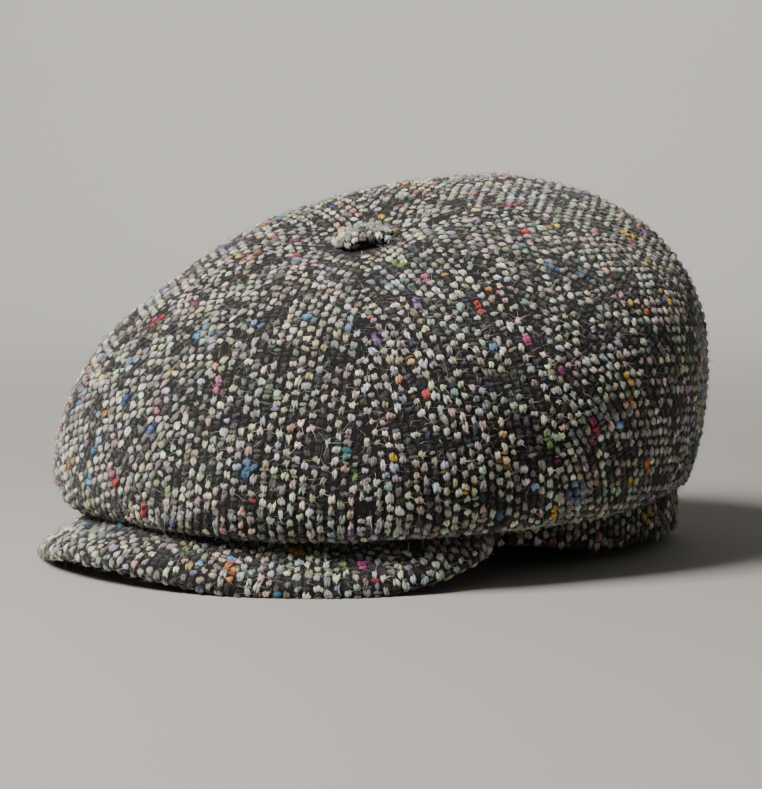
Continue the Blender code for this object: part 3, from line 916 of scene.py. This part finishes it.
def band_weave(nearest, obstacles):
    """The band's cloth: upright yarns all round the outside."""
    low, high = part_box("band")
    middle = middle_of("band")
    turns = np.linspace(0.0, 2.0 * math.pi, BAND_PROBES)
    half_width = (high.x - low.x) / 2.0
    half_length = (high.y - low.y) / 2.0
    outline = np.stack((half_width * np.sin(turns), -half_length * np.cos(turns)), axis=1)
    length = np.concatenate(([0.0], np.cumsum(np.linalg.norm(np.diff(outline, axis=0), axis=1))))
    count = 2 * int(length[-1] / YARN_STEP / 2)
    rows = int((high.z - low.z) / FLOAT_STEP) + 1
    places = np.zeros((rows, count, 3))
    normals = np.zeros_like(places)
    keep = np.zeros((rows, count), bool)
    for column in range(count):
        want = column * length[-1] / count
        x = np.interp(want, length, outline[:, 0]) + middle.x
        y = np.interp(want, length, outline[:, 1]) + middle.y
        for row in range(rows):
            target = Vector((x, y, low.z + BAND_FIRST_ROW + row * FLOAT_STEP))
            spot, out = nearest(target)
            places[row, column] = spot
            flat = Vector((out.x, out.y, 0.0))
            normals[row, column] = flat.normalized() if flat.length > STEEP else out
            keep[row, column] = abs(spot.z - target.z) < BAND_MISS
    gaps = gaps_to(places, keep, obstacles)
    for kind, points, faces, paint in weave(places, normals, keep, "band", gaps):
        name = "band_floats" if kind == "warp" else "band_ground_floats"
        stitched_together(name, [(points, faces, paint)], YARN)


def button_weave(nearest):
    """The button's cloth: the same weave gathered over a small dome."""
    top = middle_of("button")
    top.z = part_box("button")[1].z
    steps = (BUTTON_ROWS, BUTTON_COLUMNS, FLOAT_STEP * BUTTON_CLOSENESS, YARN_STEP * BUTTON_CLOSENESS)
    heading = Vector(BUTTON_HEADING)
    places, normals = woven_grid(nearest, top, heading, *steps)
    more, more_normals = woven_grid(nearest, top, -heading, *steps)
    places = np.concatenate((more[:0:-1, ::-1], places))
    normals = np.concatenate((more_normals[:0:-1, ::-1], normals))
    reach = np.linalg.norm(places - np.array(top), axis=2)
    keep = (reach < BUTTON_WEAVE_REACH) & (normals[:, :, 2] > BUTTON_LOWEST)
    gaps = np.full(keep.shape, CREASE_REACH)
    lift = np.full(keep.shape, -BUTTON_PADDING)
    floats = weave(places, normals, keep, "button", gaps, lift, BUTTON_YARN_SIZE, clusters=False)
    for kind, points, faces, paint in floats:
        name = "button_floats" if kind == "warp" else "button_ground_floats"
        stitched_together(name, [(points, faces, paint)], YARN)


def dress_cap(nodes):
    """The ground cloth of every piece, the weave on each of them and then all the loose fibres."""
    ground = wool("ground_wool", 1.0, 0.10, 0.0009, 0.0005, (21, 20, 20))
    reverse = reverse_tweed("reverse_tweed")
    band_middle = middle_of("band")
    crown_middle = middle_of("crown")
    low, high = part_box("crown")
    crown_middle.z = low.z + CROWN_MIDDLE * (high.z - low.z)
    below = band_middle - Vector((0.0, 0.0, BRIM_VIEW_DEPTH))
    crown = ground_cloth(nodes["crown"], "crown", ground, reverse, crown_middle)
    band = ground_cloth(nodes["band"], "band", ground, reverse, band_middle)
    brim = ground_cloth(nodes["brim"], "brim", ground, reverse, below)
    button = ground_cloth(nodes["button"], "button", ground, reverse, crown_middle)
    above = middle_of("button") + Vector((0.0, 0.0, BUTTON_PROBE))
    button_spot = tree_of(crown).ray_cast(above, Vector((0.0, 0.0, -1.0)))[0]
    crown_weave(crown, cloth_finder(crown), [tree_of(band), tree_of(brim), tree_of(button)], button_spot)
    brim_weave(cloth_finder(brim), [tree_of(crown), tree_of(band)])
    band_weave(cloth_finder(band), [tree_of(crown), tree_of(brim)])
    button_weave(cloth_finder(button))
    for slot in ("crown", "brim", "band", "button"):
        own = [row[1:] for row in fibres if row[0] == slot]
        stitched_together(slot + "_fibres", own, YARN)


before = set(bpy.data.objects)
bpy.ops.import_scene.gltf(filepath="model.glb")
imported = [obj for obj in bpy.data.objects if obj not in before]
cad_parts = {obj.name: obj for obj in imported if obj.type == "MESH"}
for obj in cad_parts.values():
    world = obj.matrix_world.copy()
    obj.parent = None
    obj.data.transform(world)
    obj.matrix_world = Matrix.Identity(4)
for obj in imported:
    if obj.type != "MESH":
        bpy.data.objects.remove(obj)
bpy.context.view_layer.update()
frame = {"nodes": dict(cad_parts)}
YARN = wool("yarn", 0.95, 0.25, 0.0005, 0.00025)
dress_cap(frame["nodes"])
main_camera()
studio()
